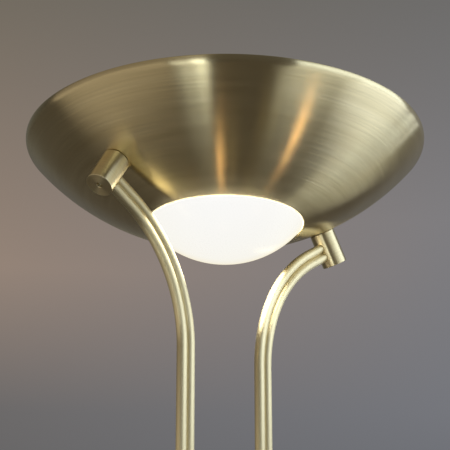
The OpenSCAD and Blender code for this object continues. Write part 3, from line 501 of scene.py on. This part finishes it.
zinc = grained("zinc", (0.42, 0.43, 0.44), (0.6, 0.61, 0.62),
               roughness=0.32, scale=500.0, bump=0.15, metallic=1.0)
black_moulded = grained("black_moulded", (0.012, 0.012, 0.013), (0.03, 0.03, 0.03),
                        roughness=0.45, scale=900.0, bump=0.3)
pad_foam = grained("pad_foam", (0.015, 0.015, 0.016), (0.035, 0.035, 0.035),
                   roughness=0.85, scale=1400.0, bump=0.8)
flex_sheath = grained("flex_sheath", (0.02, 0.02, 0.02), (0.04, 0.04, 0.04),
                      roughness=0.4, scale=300.0, bump=0.1)
glazed_ceramic = grained("glazed_ceramic", (0.72, 0.70, 0.64), (0.82, 0.80, 0.75),
                         roughness=0.2, scale=260.0, bump=0.15)
lamp_quartz = lit_quartz()


# Places taken from the frame


def low(node):
    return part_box(node)[0]


def high(node):
    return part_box(node)[1]


LIP_TOP = (BOWL_RIM_R - BOWL_WALL / 2) * BOWL_LIP / BOWL_RIM_R + BOWL_WALL / 2
RIM_Z = high("uplight_bowl").z - LIP_TOP
BOWL_R = high("uplight_bowl").x
BOWL_DEPTH = RIM_Z - low("uplight_bowl").z
HINGE_Z = (low("inner_eye").z + high("inner_eye").z) / 2
SIDES = ((-1, "left"), (1, "right"))


def on_side(side, place):
    """The same place, mirrored to the left where side is -1."""
    return Matrix.Scale(side, 4, (1, 0, 0)) @ place


def knob_frame(side):
    """Frame at a knob's seat on the bowl, +Z outwards along the knob."""
    centre = Vector(body_centre(BOWL_R, BOWL_DEPTH, OPENING_R, BOWL_BODY_R, BOWL_RIM_R))
    seat = centre + BOWL_BODY_R * Vector((math.sin(KNOB_SLOPE), -math.cos(KNOB_SLOPE)))
    place = Matrix.Translation((seat.x, 0, RIM_Z + seat.y))
    return on_side(side, place @ Matrix.Rotation(math.pi - KNOB_SLOPE, 4, "Y"))


def head_frame():
    """Frame of the reading head at its hinge, +Z up along its fork."""
    reach = (READING_RISE_L + READING_DROP_L) * math.cos(READING_RISE)
    reach += 2 * READING_BEND_R * math.sin(READING_RISE)
    lift = (READING_RISE_L - READING_DROP_L) * math.sin(READING_RISE)
    return Matrix.Translation((0, -reach, HINGE_Z + lift)) @ Matrix.Rotation(-HEAD_LEAN, 4, "X")


def place_piece(piece, body, slot, *nodes):
    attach(piece, body)
    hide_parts(*nodes)


# Spun and turned pieces


def add_bowl():
    section = spun_section(BOWL_R, BOWL_DEPTH, OPENING_R, BOWL_WALL, BOWL_BODY_R, BOWL_RIM_R,
                           BOWL_LIP, BOWL_STEPS)
    place = Matrix.Translation((0, 0, RIM_Z))
    piece = lathe("spun_bowl", section, bowl_brass, place, sides=384)
    place_piece(piece, "stand", "brass", "uplight_bowl")


def add_uplight_glass():
    level = low("uplight_glass").z + GLASS_DROP
    neck = high("uplight_glass").z - level - GLASS_WALL
    section = dome_section(high("uplight_glass").x, GLASS_FLANGE, GLASS_DROP, GLASS_WALL, neck)
    place = Matrix.Translation((0, 0, level))
    piece = lathe("opal_dome", section, uplight_opal, place, sides=256)
    place_piece(piece, "stand", "opal_glass", "uplight_glass")


def add_knobs():
    end = KNOB_LIFT + KNOB_L
    corners = [(KNOB_BORE_R, KNOB_LIFT), (KNOB_R, KNOB_LIFT), (KNOB_R, end), (KNOB_BORE_R, end)]
    for side, name in SIDES:
        piece = lathe("turned_knob_" + name, rounded(corners, KNOB_EDGE_R), turned_brass,
                      knob_frame(side), sides=160)
        place_piece(piece, "stand", "brass", "bowl_knob_" + name)


def add_base():
    """Base cover, closed where the foot ferrules stand on it."""
    radius = high("base_cover").x
    foot = low("base_cover").z
    edge_r = radius - BASE_EDGE_R
    dome = (0, BASE_H - BASE_DOME_R)
    edge = (edge_r, dome[1] + math.sqrt((BASE_DOME_R - BASE_EDGE_R)**2 - edge_r**2))
    join_a = math.atan2(edge[1] - dome[1], edge_r)
    outer = arc(edge, BASE_EDGE_R, 0, join_a, BASE_EDGE_STEPS)
    outer += arc(dome, BASE_DOME_R, join_a, math.pi / 2, BASE_DOME_STEPS)[1:]
    inner = arc(dome, BASE_DOME_R - BASE_WALL, math.pi / 2, join_a, BASE_DOME_STEPS // 2)
    inner += arc(edge, BASE_EDGE_R - BASE_WALL, join_a, 0, BASE_EDGE_STEPS // 2)[1:]
    section = [(radius, foot)] + outer + inner + [(radius - BASE_WALL, foot)]
    piece = lathe("spun_base", section, turned_brass, Matrix(), sides=320)
    place_piece(piece, "stand", "brass", "base_cover")


def add_shade():
    section = spun_section(SHADE_R, SHADE_DEPTH, SHADE_CROWN_R, SHADE_WALL, SHADE_BODY_R,
                           SHADE_RIM_R, SHADE_LIP, SHADE_STEPS)
    crown = [(SHADE_HOLE_R, -SHADE_DEPTH + SHADE_WALL), (SHADE_HOLE_R, -SHADE_DEPTH)]
    down = Matrix.Translation((0, 0, -HEAD_NECK - SHADE_DEPTH)) @ Matrix.Scale(-1, 4, (0, 0, 1))
    piece = lathe("spun_shade", section + crown, turned_brass, head_frame() @ down, sides=256)
    place_piece(piece, "reading_head", "brass", "reading_shade")


def add_reading_glass():
    section = dome_section(READING_GLASS_R, READING_GLASS_FLANGE, READING_GLASS_DROP,
                           READING_GLASS_WALL, READING_GLASS_NECK)
    down = Matrix.Translation((0, 0, -HEAD_NECK - SHADE_DEPTH - READING_GLASS_GAP))
    piece = lathe("reading_dome", section, reading_opal, head_frame() @ down, sides=192)
    place_piece(piece, "reading_head", "opal_glass", "reading_glass")


# Drawn tubes, swept along paths


def tube_tree():
    """Geometry nodes that sweep a round tube along curves and mark its grain."""
    tree = bpy.data.node_groups.new("drawn_tube", "GeometryNodeTree")
    add_sockets(tree, "INPUT", Curves="Geometry", Radius="Float", Sides="Int", Finish="Material")
    add_sockets(tree, "OUTPUT", Mesh="Geometry")
    source = tree.nodes.new("NodeGroupInput").outputs
    sink = tree.nodes.new("NodeGroupOutput")
    ring = add_node(tree, "GeometryNodeCurvePrimitiveCircle", {"Resolution": source["Sides"],
                                                               "Radius": source["Radius"]})
    length = add_node(tree, "GeometryNodeSplineParameter").outputs["Length"]
    marked = {}
    for name, curve in (("Around", ring.outputs[0]), ("Along", source["Curves"])):
        mark = add_node(tree, "GeometryNodeCaptureAttribute", {"Geometry": curve})
        mark.capture_items.new("FLOAT", name)
        set_inputs(tree, mark, {name: length})
        marked[name] = mark.outputs
    around, along = marked["Around"]["Around"], marked["Along"]["Along"]
    sweep = add_node(tree, "GeometryNodeCurveToMesh",
                     {"Curve": marked["Along"]["Geometry"],
                      "Profile Curve": marked["Around"]["Geometry"], "Fill Caps": True})
    grain = add_node(tree, "ShaderNodeCombineXYZ", {0: along, 2: around})
    chart = add_node(tree, "ShaderNodeCombineXYZ", {0: around, 1: along})
    mesh = sweep.outputs[0]
    for name, kind, value in (("grain", "FLOAT_VECTOR", grain), ("UVMap", "FLOAT2", chart)):
        mesh = add_node(tree, "GeometryNodeStoreNamedAttribute",
                        {"Geometry": mesh, "Name": name, "Value": value.outputs[0]},
                        data_type=kind, domain="CORNER").outputs[0]
    real = add_node(tree, "GeometryNodeRealizeInstances", {"Geometry": mesh})
    painted = add_node(tree, "GeometryNodeSetMaterial", {"Geometry": real.outputs[0],
                                                         "Material": source["Finish"]})
    set_inputs(tree, sink, {"Mesh": painted.outputs[0]})
    return tree


TUBES = tube_tree()


def sweep_tubes(name, paths, radius, sides):
    """One mesh of round tubes, each swept along its own list of points."""
    data = bpy.data.curves.new(name + "_path", "CURVE")
    data.dimensions = "3D"
    for points in paths:
        spline = data.splines.new("POLY")
        spline.points.add(len(points) - 1)
        for point, target in zip(points, spline.points):
            target.co = (*point, 1)
    path = new_object(name + "_path", data)
    modifier = path.modifiers.new("tubes", "NODES")
    modifier.node_group = TUBES
    sockets = {item.name: item.identifier for item in TUBES.interface.items_tree
               if item.in_out == "INPUT"}
    modifier[sockets["Radius"]] = radius
    modifier[sockets["Sides"]] = sides
    modifier[sockets["Finish"]] = tube_brass
    bpy.context.view_layer.update()
    graph = bpy.context.evaluated_depsgraph_get()
    mesh = bpy.data.meshes.new_from_object(path.evaluated_get(graph), depsgraph=graph)
    mesh.shade_smooth()
    path.modifiers.remove(modifier)
    bpy.data.objects.remove(path)
    bpy.data.curves.remove(data)
    return new_object(name, mesh)


def bent_path(run_in, bend_r, angle, run_out, offset, place):
    """Points up +Z, round a bend towards +X and on, shifted by offset across the bend."""
    points = [(offset, 0, run_in * i / RUN_IN_STEPS) for i in range(RUN_IN_STEPS)]
    for i in range(BEND_STEPS + 1):
        a = angle * i / BEND_STEPS
        points.append((bend_r - (bend_r - offset) * math.cos(a), 0,
                       run_in + (bend_r - offset) * math.sin(a)))
    end = Vector(points[-1])
    way = Vector((math.sin(angle), 0, math.cos(angle))) * run_out
    points += [tuple(end + way * i / RUN_OUT_STEPS) for i in range(1, RUN_OUT_STEPS + 1)]
    return [tuple(place @ Vector(p)) for p in points]


def pair(pitch):
    """Shifts of two tubes that lie side by side."""
    return (-pitch / 2, pitch / 2)


def add_arms():
    foot = low("upper_arm_right").z
    meet = knob_frame(1) @ Vector((0, 0, KNOB_LIFT + KNOB_L - ARM_SEAT))
    angle = math.pi / 2 - KNOB_SLOPE
    run_out = (meet.x - POLE_X - ARM_BEND_R * (1 - math.cos(angle))) / math.sin(angle)
    bend_z = meet.z - run_out * math.cos(angle) - ARM_BEND_R * math.sin(angle)
    for side, name in SIDES:
        place = on_side(side, Matrix.Translation((POLE_X, 0, foot)))
        paths = [bent_path(bend_z - foot, ARM_BEND_R, angle, run_out - KNOB_R + ARM_SINK, shift,
                           place) for shift in pair(TUBE_PITCH)]
        piece = sweep_tubes("drawn_arm_" + name, paths, TUBE_R, sides=48)
        place_piece(piece, "stand", "brass", "upper_arm_" + name)


def add_poles():
    for side, name in SIDES:
        foot, top = low("lower_pole_" + name).z, high("lower_pole_" + name).z
        levels = [foot + (top - foot) * i / POLE_STEPS for i in range(POLE_STEPS + 1)]
        paths = [[(side * POLE_X + shift, 0, level) for level in levels]
                 for shift in pair(TUBE_PITCH)]
        piece = sweep_tubes("drawn_pole_" + name, paths, TUBE_R, sides=48)
        place_piece(piece, "stand", "brass", "lower_pole_" + name)


def add_reading_tubes():
    place = Matrix.Translation((0, 0, HINGE_Z))
    place = place @ Matrix.Rotation(math.pi / 2 - READING_RISE, 4, "X")
    place = place @ Matrix.Rotation(-math.pi / 2, 4, "Z")
    eye = EYE_R - EYE_SINK
    place = place @ Matrix.Translation((0, 0, eye))
    paths = [bent_path(READING_RISE_L - eye, READING_BEND_R, 2 * READING_RISE,
                       READING_DROP_L - eye, shift, place) for shift in pair(READING_TUBE_PITCH)]
    piece = sweep_tubes("drawn_reading_arm", paths, READING_TUBE_R, sides=40)
    place_piece(piece, "reading_arm", "brass", "reading_tubes")


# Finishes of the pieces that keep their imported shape

FINISHES = {
    "base_pad": pad_foam, "base_weight": cast_iron, "cord_gland": black_moulded,
    "foot_ferrule_left": fitting_brass_z, "foot_ferrule_right": fitting_brass_z,
    "base_washers": zinc, "base_nuts": zinc, "crosshead_tube": fitting_brass_x,
    "pole_block_left": zinc, "pole_block_right": zinc, "pole_set_screws": zinc,
    "uplight_dimmer": black_moulded, "reading_dimmer": black_moulded,
    "end_bush_left": black_moulded, "end_bush_right": black_moulded, "uplight_shaft": zinc,
    "uplight_dial": fitting_brass_x, "reading_shaft": zinc, "reading_dial": fitting_brass_x,
    "arm_leads": flex_sheath, "knob_studs": zinc, "knob_washers": zinc, "knob_nuts": zinc,
    "glass_clips": zinc, "lamp_bridge": zinc, "lamp_holder_left": glazed_ceramic,
    "lamp_holder_right": glazed_ceramic, "uplight_lamp": lamp_quartz, "bowl_leads": flex_sheath,
    "post_seat": fitting_brass_z, "swivel_bolt": zinc, "swivel_washer": black_moulded,
    "swivel_nut": zinc, "swivel_fork": fitting_brass_z, "tilt_pin": zinc,
    "tilt_washers": black_moulded, "inner_eye": fitting_brass_x, "outer_eye": fitting_brass_x,
    "head_fork": fitting_brass_z, "head_pin": zinc, "head_washers": black_moulded,
    "head_screw": zinc, "head_bracket": zinc, "reading_holder": glazed_ceramic,
    "reading_lamp": lamp_quartz, "head_bezel": fitting_brass_z,
}


def dress_nodes():
    for node, material in FINISHES.items():
        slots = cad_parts[node].data.materials
        slots.clear()
        slots.append(material)


# Floor, backdrop and light. Angles are in degrees, anticlockwise from above, and run from the
# way that leads from the lamp to the camera.

TO_CAMERA = 226.8
FLOOR_HALF = 30.0
FLOOR_DARK = (0.35, 0.345, 0.34)
FLOOR_LIGHT = (0.37, 0.365, 0.36)
FLOOR_IN_BRASS = (0.10, 0.089, 0.074)

# Walls all round, as the brass mirrors them: angle and colour
WALLS = [(-180, (0.17, 0.17, 0.17)), (-166, (0.15, 0.15, 0.15)), (-150, (0.16, 0.16, 0.148)),
         (-112, (0.07, 0.065, 0.055)), (-104, (0.26, 0.22, 0.18)), (-48, (0.24, 0.21, 0.17)),
         (-12, (0.30, 0.27, 0.22)), (-9, (0.115, 0.102, 0.083)), (30, (0.10, 0.095, 0.085)),
         (60, (0.20, 0.20, 0.20)), (130, (0.24, 0.24, 0.25)), (180, (0.17, 0.17, 0.17))]

# Backdrop behind the lamp, at its left and right side: sine of the height angle and colour
BACKDROP_LEFT = [(0.0, (0.28, 0.28, 0.28)), (0.10, (0.22, 0.22, 0.222)),
                 (0.17, (0.125, 0.125, 0.128)), (0.24, (0.150, 0.142, 0.140)),
                 (0.33, (0.300, 0.230, 0.185)), (0.50, (0.165, 0.145, 0.115))]
BACKDROP_RIGHT = [(0.0, (0.28, 0.28, 0.28)), (0.10, (0.22, 0.222, 0.226)),
                  (0.17, (0.140, 0.148, 0.168)), (0.24, (0.180, 0.185, 0.205)),
                  (0.36, (0.210, 0.205, 0.215)), (0.50, (0.150, 0.147, 0.143))]
BACKDROP_HALF = 0.16

# Panels: name, start and end angle, distance, foot and top height, level and colour
PANELS = [("panel_left_edge", -17, -10, 1.3, 0.05, 1.75, 2.15, (0.92, 1.0, 1.0)),
          ("panel_left_strip", -28, -17, 1.3, 0.05, 1.72, 0.9, (0.94, 1.0, 0.98)),
          ("panel_left_warm", -101, -30, 1.25, 0.05, 1.9, 0.30, (1.0, 0.89, 0.72)),
          ("panel_right_first", 36, 74, 1.1, 0.05, 1.8, 0.60, (0.92, 0.99, 1.0)),
          ("panel_right_main", 75, 114.8, 1.6, 0.45, 1.84, 1.18, (0.80, 0.89, 1.0)),
          ("panel_right_third", 117, 123.8, 1.6, 0.5, 1.84, 1.05, (0.78, 0.89, 1.0)),
          ("panel_right_last", 126, 129.5, 1.6, 0.5, 1.84, 1.0, (0.78, 0.89, 1.0)),
          ("panel_right_foot", 75, 128, 1.6, 0.05, 0.45, 0.42, (0.88, 0.94, 1.0)),
          ("panel_right_low", 131, 152, 1.6, 0.05, 1.38, 0.38, (0.95, 1.0, 0.92)),
          ("panel_right_high", 38, 112, 1.6, 1.92, 2.9, 1.7, (0.76, 0.88, 1.0))]

# Glows: name, place, size and level. All of them face one place on the bowl.
GLOWS = [("glow_right", (0.18, -0.29, 1.23), 0.045, 1.2),
         ("glow_low", (0.0, 0.03, 1.2), 0.03, 1.7)]
GLOW_AIM = Vector((-0.04, -0.12, 1.765))
GLOW_SPREAD = math.radians(60)
GLOW_COLOUR = (1.0, 0.62, 0.30)

OVERHEAD_LEVEL = 2.2
OVERHEAD_ANGLE = math.radians(120)
OVERHEAD_PLACE = (0, 0, 3)


def add_floor():
    mesh = bpy.data.meshes.new("floor")
    half = FLOOR_HALF
    mesh.from_pydata([(-half, -half, 0), (half, -half, 0), (half, half, 0), (-half, half, 0)],
                     [], [(0, 1, 2, 3)])
    floor = new_object("floor", mesh)
    material, tree, shader = new_material("floor_paint")
    cloud = noise(tree, object_place(tree), scale=3.0, detail=3.0)
    tone = mix_colour(tree, cloud, FLOOR_DARK, FLOOR_LIGHT)
    in_brass = add_node(tree, "ShaderNodeLightPath").outputs["Is Glossy Ray"]
    set_inputs(tree, shader, {"Base Color": mix_colour(tree, in_brass, tone, FLOOR_IN_BRASS),
                              "Roughness": 0.8, "Specular IOR Level": 0.1})
    mesh.materials.append(material)


def add_world():
    """Backdrop for the camera, and the dim and bright walls of a studio for reflections."""
    world = bpy.data.worlds.new("studio")
    bpy.context.scene.world = world
    world.use_nodes = True
    tree = world.node_tree
    where = add_node(tree, "ShaderNodeTexCoord").outputs["Generated"]
    turned = add_node(tree, "ShaderNodeMapping",
                      {"Vector": where, "Rotation": (0, 0, math.radians(-TO_CAMERA))})
    way = add_node(tree, "ShaderNodeSeparateXYZ", {"Vector": turned.outputs[0]}).outputs
    angle = add_node(tree, "ShaderNodeMath", {0: way["Y"], 1: way["X"]}, operation="ARCTAN2")
    around = carry(tree, angle.outputs[0], 0.0, 1.0, start=-math.pi, end=math.pi)
    walls = ramp(tree, around, [((a + 180) / 360, colour) for a, colour in WALLS])
    sideways = carry(tree, way["Y"], 0.0, 1.0, start=-BACKDROP_HALF, end=BACKDROP_HALF)
    backdrop = mix_colour(tree, sideways, ramp(tree, way["Z"], BACKDROP_LEFT),
                          ramp(tree, way["Z"], BACKDROP_RIGHT))
    from_camera = add_node(tree, "ShaderNodeLightPath").outputs["Is Camera Ray"]
    set_inputs(tree, tree.nodes["Background"],
               {"Color": mix_colour(tree, from_camera, walls, backdrop), "Strength": 1.0})


def add_mirrored_light(data, place, way):
    """Area light that faces along way and shows only where a surface mirrors it."""
    light = new_object(data.name, data)
    light.location = place
    light.rotation_euler = way.to_track_quat("-Z", "Y").to_euler()
    light.visible_camera = False
    light.visible_diffuse = False


def add_panel(name, start, end, distance, foot, top, level, colour):
    """Upright light panel between two angles, facing the lamp."""
    data = bpy.data.lights.new(name, "AREA")
    data.shape = "RECTANGLE"
    data.size = 2 * distance * math.tan(math.radians(end - start) / 2)
    data.size_y = top - foot
    data.energy = 4 * level * data.size * data.size_y
    data.color = colour
    middle = math.radians(TO_CAMERA + (start + end) / 2)
    out = Vector((math.cos(middle), math.sin(middle), 0))
    add_mirrored_light(data, out * distance + Vector((0, 0, (foot + top) / 2)), -out)


def add_glow(name, place, size, level):
    """Small warm disc that faces the bowl, as the lit reading head and its arm are seen in it."""
    data = bpy.data.lights.new(name, "AREA")
    data.shape = "DISK"
    data.size = size
    data.energy = math.pi * level * size * size
    data.spread = GLOW_SPREAD
    data.color = GLOW_COLOUR
    add_mirrored_light(data, place, GLOW_AIM - Vector(place))


def add_overhead():
    """Broad light straight down, for an even floor. It stays out of the brass."""
    data = bpy.data.lights.new("overhead", "SUN")
    data.energy = OVERHEAD_LEVEL
    data.angle = OVERHEAD_ANGLE
    light = new_object("overhead", data)
    light.location = OVERHEAD_PLACE
    light.visible_glossy = False


def add_lights():
    for panel in PANELS:
        add_panel(*panel)
    for glow in GLOWS:
        add_glow(*glow)
    add_overhead()


# The scene

bpy.context.scene.view_settings.view_transform = "Standard"
add_camera()
add_bowl()
add_uplight_glass()
add_knobs()
add_arms()
add_poles()
add_base()
add_shade()
add_reading_glass()
add_reading_tubes()
dress_nodes()
add_floor()
add_world()
add_lights()
